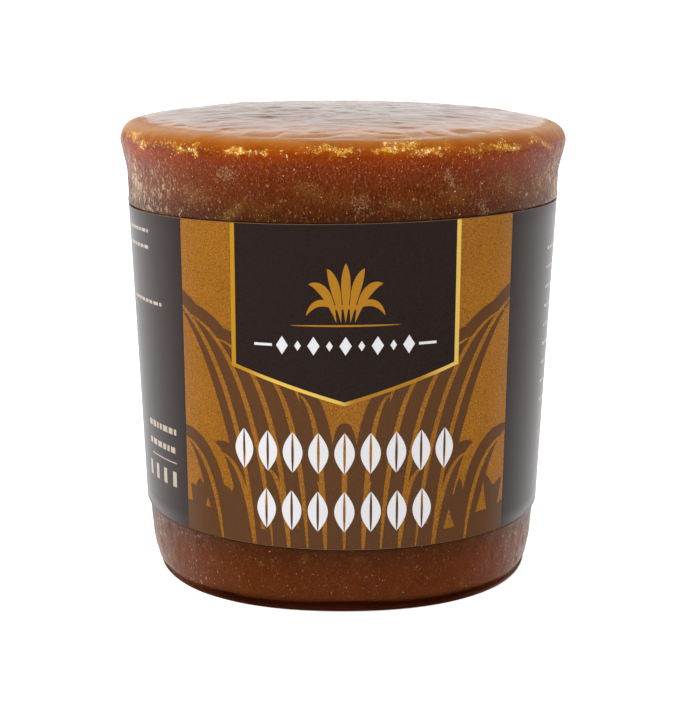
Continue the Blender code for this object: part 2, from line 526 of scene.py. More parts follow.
class Effects:
    """Shader node groups that several finishes share, each built once."""

    def __init__(self) -> None:
        """Build the groups."""
        self.grain = self._grain()
        self.flecks = self._flecks()
        self.ink_cast = self._ink_cast()
        self.ragged = self._ragged()

    @staticmethod
    def _new(
        name: str, numbers: dict[str, float], outputs: dict[str, str], colours: tuple[str, ...] = ()
    ) -> tuple[NodeTree, bpy.types.NodeOutputs, bpy.types.NodeInputs]:
        """Empty group that is given a place.

        Args:
            name: group name.
            numbers: name of each number it is given, to its starting value.
            outputs: name of each output, to its socket type.
            colours: names of the colours it is given.

        Returns:
            The wrapped group, the sockets of what it is given and those of its outputs, by name.
        """
        group = bpy.data.node_groups.new(name, "ShaderNodeTree")
        group.interface.new_socket("Place", in_out="INPUT", socket_type="NodeSocketVector")
        for label in colours:
            group.interface.new_socket(label, in_out="INPUT", socket_type="NodeSocketColor")
        for label, start in numbers.items():
            number = group.interface.new_socket(label, in_out="INPUT", socket_type="NodeSocketFloat")
            number.default_value = start
        for label, kind in outputs.items():
            group.interface.new_socket(label, in_out="OUTPUT", socket_type=kind)
        tree = NodeTree(group)
        return tree, tree.add("NodeGroupInput").outputs, tree.add("NodeGroupOutput").inputs

    def _grain(self) -> bpy.types.NodeTree:
        """Height of a rough grain: layered noise at one size, with rounded cells at half of it."""
        tree, given, out = self._new(
            "surface_grain", {"Size": 1.0, "Cells": 0.5}, {"Height": "NodeSocketFloat"}
        )
        pace = tree.math("DIVIDE", 1.0, given["Size"])
        noise = tree.noise(given["Place"], pace, 3.0, 0.62)
        values = {"Vector": given["Place"], "Scale": tree.times(pace, 2.0), "Smoothness": 0.6}
        cells = tree.add("ShaderNodeTexVoronoi", values, feature="SMOOTH_F1")
        raised = tree.times(tree.math("SUBTRACT", 0.6, cells.outputs["Distance"]), given["Cells"])
        tree.join(tree.math("ADD", noise, raised), out["Height"])
        return tree.tree

    def _flecks(self) -> bpy.types.NodeTree:
        """Mask of small round specks: a share of the cells of a Voronoi pattern, faded by distance."""
        tree, given, out = self._new(
            "small_flecks", {"Size": 1.0, "Share": 0.2}, {"Mask": "NodeSocketFloat"}
        )
        pace = tree.math("DIVIDE", 1.0, given["Size"])
        cells = tree.add("ShaderNodeTexVoronoi", {"Vector": given["Place"], "Scale": pace})
        draw = tree.add("ShaderNodeSeparateColor", {0: cells.outputs["Color"]})
        chosen = tree.math("LESS_THAN", draw.outputs[0], given["Share"])
        reach = tree.math("ADD", 0.16, tree.times(draw.outputs[1], 0.34))
        away = tree.math("DIVIDE", cells.outputs["Distance"], reach)
        near = tree.math("SUBTRACT", 1.0, away, clamp=True)
        bright = tree.math("ADD", 0.35, tree.times(draw.outputs[2], 0.65))
        tree.join(tree.times(tree.times(chosen, near), bright), out["Mask"])
        return tree.tree

    def _ragged(self) -> bpy.types.NodeTree:
        """Crisp ragged mask: a soft envelope pushed up and down by layered noise, then cut at a half."""
        tree, given, out = self._new(
            "ragged_mask",
            {"Envelope": 0.0, "Size": 1.0, "Push": 1.0, "Edge": 0.1},
            {"Mask": "NodeSocketFloat"},
        )
        noise = tree.noise(given["Place"], tree.math("DIVIDE", 1.0, given["Size"]), 5.0, 0.72)
        push = tree.times(tree.math("SUBTRACT", noise, 0.5), given["Push"])
        level = tree.math("ADD", given["Envelope"], push)
        low, high = tree.math("SUBTRACT", 0.5, given["Edge"]), tree.math("ADD", 0.5, given["Edge"])
        tree.join(tree.eased(level, low, high), out["Mask"])
        return tree.tree

    def _ink_cast(self) -> bpy.types.NodeTree:
        """Printed colour with a fine uneven cast, and the paper's slight tooth as a height."""
        tree, given, out = self._new(
            "ink_cast",
            {"Unevenness": 0.1},
            {"Color": "NodeSocketColor", "Tooth": "NodeSocketFloat"},
            colours=("Ink",),
        )
        fine = tree.noise(given["Place"], 5200.0, 1.0, 0.7)
        broad = tree.noise(given["Place"], 90.0, 2.0)
        cast = tree.math("ADD", tree.times(fine, 0.90), tree.times(broad, 0.10))
        shift = tree.times(tree.math("SUBTRACT", cast, 0.5), given["Unevenness"])
        gain = tree.math("ADD", 1.0, tree.times(shift, 4.0))
        tree.join(tree.scaled(given["Ink"], gain), out["Color"])
        tree.join(fine, out["Tooth"])
        return tree.tree


@dataclass(frozen=True)
class InkFinish:
    """One printed ink under the band's satin varnish."""

    name: str
    ink: Colour
    unevenness: float = 0.10
    roughness: float = 0.20
    specular: float = 0.41
    tooth: float = 0.006

    def dress(self, piece: Piece, effects: Effects) -> None:
        """Give the piece this ink, with its cast and the paper's tooth.

        Args:
            piece: band or plate of print.
            effects: the shared node groups.
        """
        look = Material(self.name)
        cast = look.effect(effects.ink_cast, Ink=(*self.ink, 1.0), Unevenness=self.unevenness)
        values = {"Strength": 0.25, "Distance": self.tooth * MM, "Height": cast["Tooth"]}
        look.feed(Base_Color=cast["Color"], Normal=look.add("ShaderNodeBump", values).outputs[0])
        look.set(Roughness=self.roughness, Specular_IOR_Level=self.specular)
        look.dress(piece)


@dataclass(frozen=True)
class GoldInkFinish:
    """Printed gold line with painted reflection: its tone runs across the front from yellow, through pale and
    deep gold, to pale.

    Each stop gives the share of the way across the line's two half widths, and the tone there.
    """

    name: str
    half_width: float
    # Pale and deep shifts across the line: painted reflection on the gold print.
    stops: tuple[tuple[float, Colour], ...] = (
        (0.0, (0.36, 0.175, 0.0015)),
        (0.06, (0.36, 0.175, 0.0015)),
        (0.22, (0.55, 0.36, 0.055)),
        (0.46, (0.55, 0.36, 0.055)),
        (0.56, (0.29, 0.135, 0.005)),
        (0.82, (0.29, 0.135, 0.005)),
        (0.95, (0.54, 0.35, 0.063)),
        (1.0, (0.54, 0.35, 0.063)),
    )
    unevenness: float = 0.08
    roughness: float = 0.25
    specular: float = 0.4

    def dress(self, piece: Piece, effects: Effects) -> None:
        """Give the piece the gold print.

        Args:
            piece: plate of print.
            effects: the shared node groups.
        """
        look = Material(self.name)
        share = look.share(look.axis("X"), -self.half_width * MM, self.half_width * MM)
        tone = look.ramp(share, list(self.stops))
        look.feed(Base_Color=look.effect(effects.ink_cast, Ink=tone, Unevenness=self.unevenness)["Color"])
        look.set(Roughness=self.roughness, Specular_IOR_Level=self.specular)
        look.dress(piece)


@dataclass(frozen=True)
class RaggedBits:
    """Ragged bits of one colour inside a soft envelope that is stored on the skin.

    They fill up to a share of the envelope.  Their size is in millimetres, push is how far the
    noise moves the envelope, edge how soft they end, and drawn how far they stretch upwards.
    """

    envelope: str
    share: float
    size: float
    push: float
    edge: float
    strength: float
    colour: Colour
    drawn: float = 1.0

    def lay(self, look: Material, effects: Effects, tone: Socket) -> Socket:
        """Lay the bits over a colour; away from the envelope they stay only on a coarse skin.

        Args:
            look: the skin's material.
            effects: the shared node groups.
            tone: the colour under them.

        Returns:
            The colour with the bits on it.
        """
        envelope = look.stored(self.envelope)
        rough = look.times(look.math("SUBTRACT", look.stored("coarse"), 0.27), 1.7)
        gate = look.math("ADD", look.times(envelope, 3.0), rough, clamp=True)
        bits = look.effect(
            effects.ragged,
            Place=look.stretched(look.place, (1.0, 1.0, 1.0 / self.drawn)),
            Envelope=look.times(envelope, self.share),
            Size=self.size * MM,
            Push=self.push,
            Edge=self.edge,
        )
        shown = look.times(look.times(bits["Mask"], gate), self.strength)
        return look.mix(shown, tone, (*self.colour, 1.0))


@dataclass(frozen=True)
class Flecks:
    """Small round flecks of one colour on a share of the cells of a pattern of one size."""

    size: float
    share: float
    strength: float
    colour: Colour

    def lay(self, look: Material, effects: Effects, tone: Socket) -> Socket:
        """Lay the flecks over a colour, most of them where the skin is coarse.

        Args:
            look: the skin's material.
            effects: the shared node groups.
            tone: the colour under them.

        Returns:
            The colour with the flecks on it.
        """
        mask = look.effect(effects.flecks, Size=self.size * MM, Share=self.share)["Mask"]
        shown = look.times(look.times(mask, self.strength), look.math("POWER", look.stored("coarse"), 2.0))
        return look.mix(shown, tone, (*self.colour, 1.0))


@dataclass(frozen=True)
class CastSugarFinish:
    """Translucent cast sugar with a waxy skin, from deep red-brown to an amber rim.

    The tones give the colour by height, up the lower corner, the wall, the neck, the amber
    belt, the rolled rim and the top, with painted shade just over the band and painted sheen
    on the rolled rim and the top's front edge.  The layers lie over it, the first one lowest.
    """

    name: str
    bottom: float
    top: float
    roughness: float = 0.27
    polished: float = 0.40
    coat: float = 0.76
    # Share and colour of the pale sheen painted over the flanks.
    painted_sheen: float = 0.12
    painted_sheen_colour: Colour = (0.32, 0.190, 0.100)
    # Near-black laid over the front of the foot: painted shade in the crease.
    foot_shade_colour: Colour = (0.028, 0.0046, 0.0005)
    # The dark stop at 67.0 is painted shade under the overhanging rim, just over the band, and the stop at
    # 11.5 is darker just under the band; the paler, bluer stops from 79.8 up are painted sheen of the rolled
    # rim and the top's front edge.
    tones: tuple[tuple[float, Colour], ...] = (
        (0.0, (0.082, 0.0170, 0.0018)),
        (3.0, (0.085, 0.0170, 0.0012)),
        (7.5, (0.083, 0.0158, 0.0011)),
        (11.5, (0.050, 0.0125, 0.0020)),
        (67.0, (0.046, 0.0094, 0.0010)),
        (70.0, (0.090, 0.0164, 0.0010)),
        (73.5, (0.112, 0.0170, 0.0009)),
        (75.5, (0.138, 0.0178, 0.0006)),
        (77.0, (0.205, 0.0280, 0.0004)),
        (78.0, (0.280, 0.050, 0.0008)),
        (78.8, (0.340, 0.085, 0.0030)),
        (79.3, (0.385, 0.125, 0.0150)),
        (79.8, (0.440, 0.185, 0.0560)),
        (80.3, (0.475, 0.222, 0.0860)),
        (80.7, (0.430, 0.170, 0.0520)),
        (81.2, (0.320, 0.145, 0.0650)),
        (82.0, (0.200, 0.082, 0.0310)),
    )
    layers: tuple[RaggedBits | Flecks, ...] = (
        # The first two layers are pale bits on the flanks: powder, and painted highlights of the grain's
        # sheen.
        RaggedBits("dust_and_sheen", 0.46, 1.10, 2.5, 0.10, 0.50, (0.58, 0.43, 0.30), drawn=1.4),
        RaggedBits("dust_and_sheen", 0.46, 0.50, 2.8, 0.12, 0.46, (0.62, 0.48, 0.36), drawn=1.8),
        RaggedBits("coarse", 0.24, 0.42, 2.2, 0.12, 0.34, (0.42, 0.25, 0.12), drawn=2.0),
        RaggedBits("olive", 0.75, 1.4, 1.0, 0.50, 0.26, (0.17, 0.085, 0.012)),
        RaggedBits("olive", 0.40, 0.30, 2.2, 0.12, 0.42, (0.34, 0.190, 0.045)),
        RaggedBits("gold", 0.80, 1.5, 1.6, 0.30, 0.55, (0.47, 0.170, 0.005)),
        RaggedBits("gold", 0.55, 0.62, 2.6, 0.10, 0.82, (0.68, 0.38, 0.040)),
        RaggedBits("gold", 0.36, 0.50, 2.8, 0.08, 0.95, (0.90, 0.76, 0.42)),
        RaggedBits("bloom", 0.50, 0.32, 2.3, 0.16, 0.45, (0.46, 0.30, 0.17)),
        Flecks(0.42, 0.04, 0.34, (0.45, 0.22, 0.07)),
        Flecks(0.8, 0.010, 0.50, (0.62, 0.42, 0.20)),
    )

    def _body(self, look: Material) -> Socket:
        """Colour by height, its levels wavering a little, with a faint cloud, a fine grain and painted light.
        """
        waver = look.math("SUBTRACT", look.noise(look.place, 150.0, 3.0), 0.5)
        drift = look.times(look.times(waver, 1.4 * MM), look.stored("skin"))
        level = look.math("ADD", look.axis("Z"), drift)
        share = look.share(level, self.bottom * MM, self.top * MM)
        reach = self.top - self.bottom
        body = look.ramp(share, [((at - self.bottom) / reach, tone) for at, tone in self.tones], smooth=False)
        cloud = look.eased(look.noise(look.place, 330.0, 2.0), 0.3, 0.7, 0.94, 1.06)
        grain = look.noise(look.stretched(look.place, (1.0, 1.0, 0.5)), 3600.0, 2.0, 0.8)
        swing = look.times(look.eased(grain, 0.28, 0.74, -0.34, 0.60), look.stored("coarse"))
        # The stored painted light brightens the flanks and the left neck and darkens under the rim.
        return look.scaled(body, look.times(cloud, look.math("ADD", look.stored("painted_light"), swing)))

    def dress(self, piece: Piece, effects: Effects) -> None:
        """Give the block its grained colour with painted light, shade and sheen, pale powder, patches of
        crystals, flecks and gloss.

        Args:
            piece: the block, with "gold", "olive", "bloom", "dusty", "coarse", "skin", "warm", "sole",
                "gloss" and "polish" stored on its vertices.
            effects: the shared node groups.
        """
        look = Material(self.name)
        # Pale colour over the flanks: painted sheen, with some powder.
        sheen_share = look.times(look.stored("dust_and_sheen"), self.painted_sheen)
        tone = look.mix(sheen_share, self._body(look), (*self.painted_sheen_colour, 1.0))
        for layer in self.layers:
            tone = layer.lay(look, effects, tone)
        grain = look.effect(effects.grain, Size=0.44 * MM, Cells=0.35)["Height"]
        height = look.times(grain, look.stored("coarse"))
        bump = look.add("ShaderNodeBump", {"Strength": 0.9, "Distance": 0.22 * MM, "Height": height})
        # The base colour gets the painted shade of the foot's crease laid over it.
        look.feed(
            Base_Color=look.mix(look.stored("painted_foot_shade"), tone, (*self.foot_shade_colour, 1.0)),
            Normal=bump.outputs[0],
            Coat_Weight=look.times(look.stored("gloss"), self.coat),
            Roughness=look.eased(look.stored("polish"), 0.0, 1.0, self.roughness, self.polished),
        )
        look.set(
            Diffuse_Roughness=0.8,
            IOR=1.5,
            Specular_IOR_Level=0.22,
            Coat_Roughness=0.09,
            Coat_IOR=1.5,
            Subsurface_Weight=0.25,
            Subsurface_Radius=(1.0, 0.35, 0.10),
            Subsurface_Scale=0.8 * MM,
        )
        look.dress(piece)


@dataclass(frozen=True)
class CrystalFinish:
    """Sugar crystals from amber to pale yellow, by the tone stored on each."""

    name: str = "sugar_crystals"
    amber: Colour = (0.34, 0.12, 0.02)
    yellow: Colour = (0.62, 0.33, 0.07)
    pale: Colour = (0.88, 0.70, 0.38)
    unevenness: float = 0.2

    def dress(self, piece: Piece, effects: Effects) -> None:
        """Give the crystals their tone, a little clouded.

        Args:
            piece: the crystals, with "tone" stored on their vertices.
            effects: the shared node groups.
        """
        look = Material(self.name)
        tone = look.ramp(look.stored("tone"), [(0.0, self.amber), (0.55, self.yellow), (1.0, self.pale)])
        look.feed(Base_Color=look.effect(effects.ink_cast, Ink=tone, Unevenness=self.unevenness)["Color"])
        look.set(
            Roughness=0.22,
            IOR=1.5,
            Subsurface_Weight=0.3,
            Subsurface_Radius=(1.0, 0.6, 0.25),
            Subsurface_Scale=0.4 * MM,
        )
        look.dress(piece)


# ---------------------------------------------------------------------------
# The block and its crystals
# ---------------------------------------------------------------------------


@dataclass(frozen=True)
class CrystalPatches:
    """Soft envelopes of the patches where lighter crystals show at the block's skin."""

    count: int
    lowest: float
    highest: float
    width: tuple[float, float]
    tall: tuple[float, float]
    seed: int
    fullness: float = 1.6

    def envelope(self, azimuth: np.ndarray, height: np.ndarray, radius: float) -> np.ndarray:
        """How near each place is to the middle of a patch, 0 to 1.

        A patch is the fullness times the bell exp(-d^2) of the distance d from its centre in half
        widths and half heights, cut off at 1 and turned a little; the strongest patch counts.

        Args:
            azimuth: the places' azimuths.
            height: the places' heights.
            radius: radius that turns an azimuth into a width.

        Returns:
            The envelope, shaped as the azimuths.
        """
        rng = np.random.default_rng(self.seed)
        around = (np.arange(self.count) + rng.uniform(-0.45, 0.45, self.count)) * 2 * np.pi / self.count
        level = rng.uniform(self.lowest, self.highest, self.count)
        half_width = rng.uniform(*self.width, self.count)
        half_tall = rng.uniform(*self.tall, self.count)
        strength = rng.uniform(0.45, 1.0, self.count)
        lean = rng.uniform(-0.5, 0.5, self.count)
        strongest = np.zeros(azimuth.shape)
        for centre, up, wide, tall, power, turn in zip(around, level, half_width, half_tall, strength, lean):
            apart = wrapped(azimuth - centre) * radius
            above = height - up
            run = apart * math.cos(turn) + above * math.sin(turn)
            rise = above * math.cos(turn) - apart * math.sin(turn)
            near = np.exp(-((run / wide) ** 2) - (rise / tall) ** 2)
            strongest = np.maximum(strongest, power * np.minimum(self.fullness * near, 1.0))
        return strongest


@dataclass(frozen=True)
class Cluster:
    """One cluster of pale crystals on the rim, its middle's azimuth and half width in degrees."""

    azimuth: float
    half_width: float
    level: float
    half_height: float

    def envelope(self, azimuth: np.ndarray, height: np.ndarray) -> np.ndarray:
        """Bell exp(-d^2) of the distance d from the middle in half widths and half heights."""
        across = wrapped(azimuth - math.radians(self.azimuth)) / math.radians(self.half_width)
        return np.exp(-(across**2) - ((height - self.level) / self.half_height) ** 2)


@dataclass(frozen=True)
class Skin:
    """The block's skin as a grid, with rows up the outline and columns round the axis.

    Azimuth, radius and height are those of the true turned shape.  Side and on_top say how much of
    the side's and of the top's relief a row takes.  Places are where the points are, and
    outward holds the normals there.
    """

    azimuth: np.ndarray
    radius: np.ndarray
    height: np.ndarray
    side: np.ndarray
    on_top: np.ndarray
    places: np.ndarray
    outward: np.ndarray

    @property
    def level(self) -> np.ndarray:
        """Height of each row, as one column."""
        return self.height[:, :1]

    @property
    def flank(self) -> np.ndarray:
        """0 at the front and the back, 1 at either side: the size of the azimuth's sine."""
        return np.abs(np.sin(self.azimuth))

    @property
    def left(self) -> np.ndarray:
        """1 on the left half, 0 on the right one."""
        return np.where(np.sin(self.azimuth) < 0, 1.0, 0.0)

    @property
    def before(self) -> np.ndarray:
        """Whether a point is on the front half."""
        return np.cos(self.azimuth) > 0

    def noise(self, cell: float, seed: int) -> np.ndarray:
        """Smooth noise in -1..1 over the places, with lumps of the cell's size."""
        return lumps(self.places, cell, seed)


@dataclass(frozen=True)
class Lights:
    """Where lighter crystals show on the skin, as envelopes from 0 to 1."""

    gold: np.ndarray
    olive: np.ndarray
    bloom: np.ndarray
    marks: np.ndarray
    belt: np.ndarray


@dataclass
class JaggeryBlock:
    """The cast block: a closed skin on a grid of heights and azimuths, pitted and lumpy.

    A relief is a list of layers, each with the size of its lumps and its depth.
    """

    casting: Casting
    around: int = 480
    clearance: float = 0.02
    side_relief: tuple[tuple[float, float], ...] = ((3.4, 0.07), (1.5, 0.11), (0.8, 0.06))
    drawn: float = 0.55
    flank_relief: float = 0.6
    top_relief: tuple[tuple[float, float], ...] = ((9.0, 0.24), (3.2, 0.15), (1.4, 0.06))
    folds: tuple[float, float] = (2.7, 0.14)
    crease_pinch: float = 0.35
    crease_sway: float = 0.30
    belt_level: float = 78.7
    belt_half_height: float = 1.2
    # Where the pale powder and painted sheen begin on the flanks, how much sooner on the left, and the
    # azimuth where they are thickest.
    sheen_dust_from: float = 0.68
    sheen_dust_more_left: float = 0.36
    sheen_dust_middle: float = -1.30
    # How much brighter the painted light makes the flanks and the left neck.
    painted_light_share: float = 0.24
    # Strength of the painted shade in the foot's crease.
    foot_shade_depth: float = 0.94
    gloss_radius: float = 36.5
    clusters: tuple[Cluster, ...] = (
        Cluster(-64.0, 5.0, 79.2, 0.8),
        Cluster(-42.0, 2.4, 78.3, 0.4),
        Cluster(-24.0, 5.5, 78.6, 0.7),
        Cluster(-2.0, 7.0, 79.2, 0.8),
        Cluster(19.0, 5.5, 78.7, 0.9),
        Cluster(42.0, 8.5, 78.9, 0.7),
    )
    gold: CrystalPatches = CrystalPatches(42, 77.9, 79.9, width=(0.5, 3.8), tall=(0.35, 1.1), seed=12)
    olive: CrystalPatches = CrystalPatches(34, 67.6, 73.5, width=(1.2, 3.6), tall=(0.8, 2.0), seed=23)
    bloom: CrystalPatches = CrystalPatches(16, 67.5, 76.0, width=(0.8, 2.4), tall=(0.8, 2.2), seed=37)
    low_marks: CrystalPatches = CrystalPatches(30, 3.2, 11.0, width=(0.3, 0.8), tall=(0.3, 0.7), seed=31)

    def outline(self) -> tuple[Outline, np.ndarray, np.ndarray]:
        """Outline from the foot's edge to near the middle of the top.

        Returns:
            (n, 2) radius and height, and for each point how much of the side's and of the
            top's relief it takes, 0 to 1.
        """
        form = self.casting
        low_wall = np.array([form.corner()[-1], (form.wall_radius_low + form.ledge, form.band_foot - 0.4)])
        behind = np.linspace(form.band_foot, form.band_top, 12)
        parts = [
            resampled(form.foot(), 0.28),
            resampled(form.corner(), 0.3)[1:],
            resampled(low_wall, 0.42)[1:],
            np.column_stack((form.wall_radius(behind), behind)),
            resampled(form.rim(), 0.33),
            resampled(form.top(), 0.52)[1:],
        ]
        line = np.vstack(parts)
        height = line[:, 1]
        side = smoothstep(form.foot_height, 4.0, height)
        side = side * smoothstep(form.band_foot, form.band_foot - 1.5, height)
        side = side + smoothstep(form.band_top + 0.5, form.band_top + 2.0, height)
        on_top = smoothstep(38.6, 36.0, line[:, 0]) * (height > form.rim_height)
        return line, side * (1 - on_top), on_top

    @staticmethod
    def _depth(places: np.ndarray, layers: tuple[tuple[float, float], ...], seed: int) -> np.ndarray:
        """Depth below the true skin: for each layer its depth times noise brought to 0..1."""
        return sum(
            size * (0.5 - 0.5 * lumps(places, cell, seed + number))
            for number, (cell, size) in enumerate(layers)
        )

    def _folds(self, places: np.ndarray) -> np.ndarray:
        """Depth of the top's sharp furrows: deepest where a noise crosses zero, 1 - |noise| to the fourth."""
        cell, size = self.folds
        squeezed = places * np.array([0.7, 1.25, 1.0])
        bent = squeezed + 1.6 * np.stack([lumps(places, 7.0, seed) for seed in (51, 52, 53)], axis=-1)
        return size * (1 - np.abs(lumps(bent, cell, 50))) ** 4

    def _skin(self) -> Skin:
        """The skin with its relief: lumps, the top's furrows, and an uneven crease above the foot."""
        form = self.casting
        line, side, on_top = self.outline()
        angle, radius = np.meshgrid(np.arange(self.around) * 2 * np.pi / self.around, line[:, 0])
        level, side, on_top = line[:, 1:2], side[:, None], on_top[:, None]
        height = np.broadcast_to(level, angle.shape)
        places = form.places(angle, radius, height)

        along = np.roll(places, -1, axis=1) - np.roll(places, 1, axis=1)
        outward = np.cross(along, np.gradient(places, axis=0))
        outward /= np.linalg.norm(outward, axis=-1, keepdims=True)
        rough = side * (1 + self.flank_relief * smoothstep(0.72, 0.95, np.abs(np.sin(angle))))
        depth = self.clearance + rough * self._depth(places * (1.0, 1.0, self.drawn), self.side_relief, 3)
        depth = depth + on_top * (self._depth(places, self.top_relief, 7) + self._folds(places))
        places = places - outward * depth[..., None]
        pinch = self.crease_pinch * bell(level, form.foot_height, 0.5) * (0.5 - 0.5 * lumps(places, 5.0, 71))
        places = places - outward * pinch[..., None]
        sway = self.crease_sway * bell(level, form.foot_height, 1.0)
        places[..., 2] += sway * lumps(places, 8.0, 72)
        places[0, :, 2] = 0.0
        return Skin(angle, radius, height, side, on_top, places, outward)

    def _mesh(self, skin: Skin) -> Piece:
        """Closed mesh of the skin, with one more vertex in the middle of the top and of the foot."""
        rows, columns = skin.height.shape
        middle = skin.places[-1].mean(axis=0, keepdims=True)
        under = np.array([[-self.casting.base_shift, 0.0, 0.0]])
        vertices = np.vstack((skin.places.reshape(-1, 3), middle, under))
        faces = ring_faces(rows, columns)
        faces += fan_faces(columns, (rows - 1) * columns, rows * columns, upward=True)
        faces += fan_faces(columns, 0, rows * columns + 1, upward=False)
        return new_piece("cast_jaggery", vertices, faces, sharp_angle=60.0)

    def _lights(self, skin: Skin) -> Lights:
        """Patches, the rim's clusters and its uneven belt, all with wavering edges."""
        reach = self.casting.rim_radius
        azimuth = skin.azimuth + 0.9 * skin.noise(1.3, 61) / reach
        height = skin.height + 0.7 * skin.noise(1.3, 62)
        gold, olive, bloom, marks = (
            patches.envelope(azimuth, height, reach)
            for patches in (self.gold, self.olive, self.bloom, self.low_marks)
        )
        belt = bell(height, self.belt_level, self.belt_half_height) * (0.30 + 0.28 * skin.noise(7.0, 64))
        for cluster in self.clusters:
            gold = np.maximum(gold, cluster.envelope(azimuth, height))
        return Lights(np.maximum(gold, belt), olive, bloom, marks, belt)

    def _dust_and_sheen(self, skin: Skin) -> np.ndarray:
        """Pale powder and painted sheen on the flanks, thickest just over the band and at the left side."""
        form = self.casting
        begins = self.sheen_dust_from - self.sheen_dust_more_left * skin.left
        thick = 0.96 - 0.12 * skin.left + 0.14 * bell(wrapped(skin.azimuth - self.sheen_dust_middle), 0.0, 0.6)
        levels = [form.band_foot, form.band_top, 71.5, 76.0, 78.0]
        sheen_and_dust = smoothstep(begins, 0.95, skin.flank) * thick
        sheen_and_dust = sheen_and_dust * np.interp(skin.height, levels, [0.42, 1.0, 1.0, 0.5, 0.0])
        sheen_and_dust = sheen_and_dust * (1 - 0.4 * smoothstep(0.955, 1.0, skin.flank))
        return sheen_and_dust * (0.75 + 0.45 * skin.noise(5.0, 63))

    def _painted_light_gain(self, skin: Skin) -> np.ndarray:
        """Painted light and shade as a gain of the tone: brighter low on the flanks and on the left neck,
        darker under the rim.
        """
        form, height, flank = self.casting, skin.height, skin.flank
        painted_light = np.interp(height, [form.band_foot, form.band_top], [self.painted_light_share, 0.0])
        on_wall = smoothstep(form.band_foot, form.band_top, height) * (height < form.rim_height)
        painted_light = painted_light + self.painted_light_share * skin.left * on_wall
        painted_light = 1 + painted_light * smoothstep(0.35, 0.80, flank)
        return painted_light - self.painted_light_share * smoothstep(0.35, 0.60, flank) * bell(height, 78.0, 1.4)

    def _gloss(self, skin: Skin) -> np.ndarray:
        """The top's wet gloss, with a wavy edge that lies further in at the sides of the front."""
        edge = skin.radius + 0.55 * skin.noise(6.0, 65) + 0.25 * skin.noise(2.2, 66)
        edge = edge + (1.0 + 0.7 * skin.left) * smoothstep(0.25, 0.75, skin.flank) * skin.before
        over_rim = skin.height > self.casting.rim_height
        return smoothstep(self.gloss_radius + 1.0, self.gloss_radius, edge) * over_rim

    def _dress(self, piece: Piece, skin: Skin, lights: Lights) -> None:
        """Store on the piece what its finish reads."""
        form = self.casting
        levels = [form.band_foot, form.band_top, form.rim_height - 1.0, form.rim_height + 1.5]
        low = smoothstep(2.8, 1.8, skin.height)
        stored = {
            "gold": lights.gold,
            "olive": lights.olive + lights.marks,
            "bloom": lights.bloom,
            "dust_and_sheen": self._dust_and_sheen(skin),
            "coarse": np.interp(skin.level, levels, [0.54, 1.0, 1.0, 0.22]) + 0.06 * skin.on_top,
            "skin": skin.side + skin.on_top,
            "painted_light": self._painted_light_gain(skin),
            # Painted shade in the crease over the foot, on the front half only and fading towards the flanks.
            "painted_foot_shade": self.foot_shade_depth * low * smoothstep(0.86, 0.55, skin.flank * skin.before),
            "gloss": self._gloss(skin),
            "polish": smoothstep(form.rim_height + 0.2, form.rim_height + 1.4, skin.level),
        }
        for name, values in stored.items():
            across = np.broadcast_to(values, skin.height.shape)
            add_value(piece, name, np.concatenate((across.ravel(), (across[-1, 0], across[0, 0]))))

    def _crowd(self, skin: Skin, lights: Lights) -> np.ndarray:
        """How densely crystals lie at each point: a few on the side, most of them in the patches."""
        form = self.casting
        crowd = np.interp(skin.height, [form.band_foot, form.band_top], [0.0008, 0.008]) * skin.side
        crowd = crowd + 1.2 * np.maximum(lights.gold - lights.belt, 0.0) ** 2
        crowd = crowd + 0.10 * lights.olive**2 + 0.15 * lights.bloom**2
        return crowd + 0.03 * lights.marks**2 + 0.0005 * skin.on_top

    def build(self, finish: CastSugarFinish, effects: Effects) -> tuple[Skin, np.ndarray]:
        """Build, dress and place the block.

        Args:
            finish: the cast sugar's finish.
            effects: the shared node groups.

        Returns:
            The skin, and for each of its points how densely crystals lie there.
        """
        skin = self._skin()
        piece = self._mesh(skin)
        lights = self._lights(skin)
        self._dress(piece, skin, lights)
        finish.dress(piece, effects)
        place(piece, "cast_sugar", "jaggery_block")
        return skin, self._crowd(skin, lights)


@dataclass
class SugarCrystals:
    """Small crystals sunk in the skin, each an uneven eight-sided grain."""

    count: int = 2200
    smallest: float = 0.08
    largest: float = 0.26
    sunk: float = 0.62
    seed: int = 5

    def build(self, skin: Skin, crowd: np.ndarray, finish: CrystalFinish, effects: Effects) -> None:
        """Scatter, dress and place the crystals as one piece.

        Args:
            skin: the block's skin.
            crowd: how densely crystals lie at each of its points.
            finish: the crystals' finish.
            effects: the shared node groups.
        """
        rng = np.random.default_rng(self.seed)
        share = crowd.ravel() / crowd.sum()
        chosen = rng.choice(share.size, self.count, p=share)
        size = self.smallest + (self.largest - self.smallest) * rng.random(self.count) ** 2.5
        inward = skin.outward.reshape(-1, 3)[chosen] * (self.sunk * size)[:, None]
        centre = skin.places.reshape(-1, 3)[chosen] - inward
        corners = np.array([(1, 0, 0), (-1, 0, 0), (0, 1, 0), (0, -1, 0), (0, 0, 1), (0, 0, -1)], float)
        shape = corners[None] * rng.uniform(0.65, 1.15, (self.count, 6, 1))
        turns = np.linalg.qr(rng.normal(size=(self.count, 3, 3)))[0]
        turns *= np.sign(np.linalg.det(turns))[:, None, None]
        grains = np.einsum("nij,nkj->nki", turns, shape) * size[:, None, None] + centre[:, None]
        upper = [(0, 2, 4), (2, 1, 4), (1, 3, 4), (3, 0, 4)]
        lower = [(2, 0, 5), (1, 2, 5), (3, 1, 5), (0, 3, 5)]
        faces = (np.array(upper + lower)[None] + 6 * np.arange(self.count)[:, None, None]).reshape(-1, 3)
        piece = new_piece("sugar_crystals", grains.reshape(-1, 3), faces.tolist(), sharp_angle=20.0)
        add_value(piece, "tone", np.repeat(rng.random(self.count), 6))
        finish.dress(piece, effects)
        place(piece, "cast_sugar")


# ---------------------------------------------------------------------------
# The paper band and its print
# ---------------------------------------------------------------------------


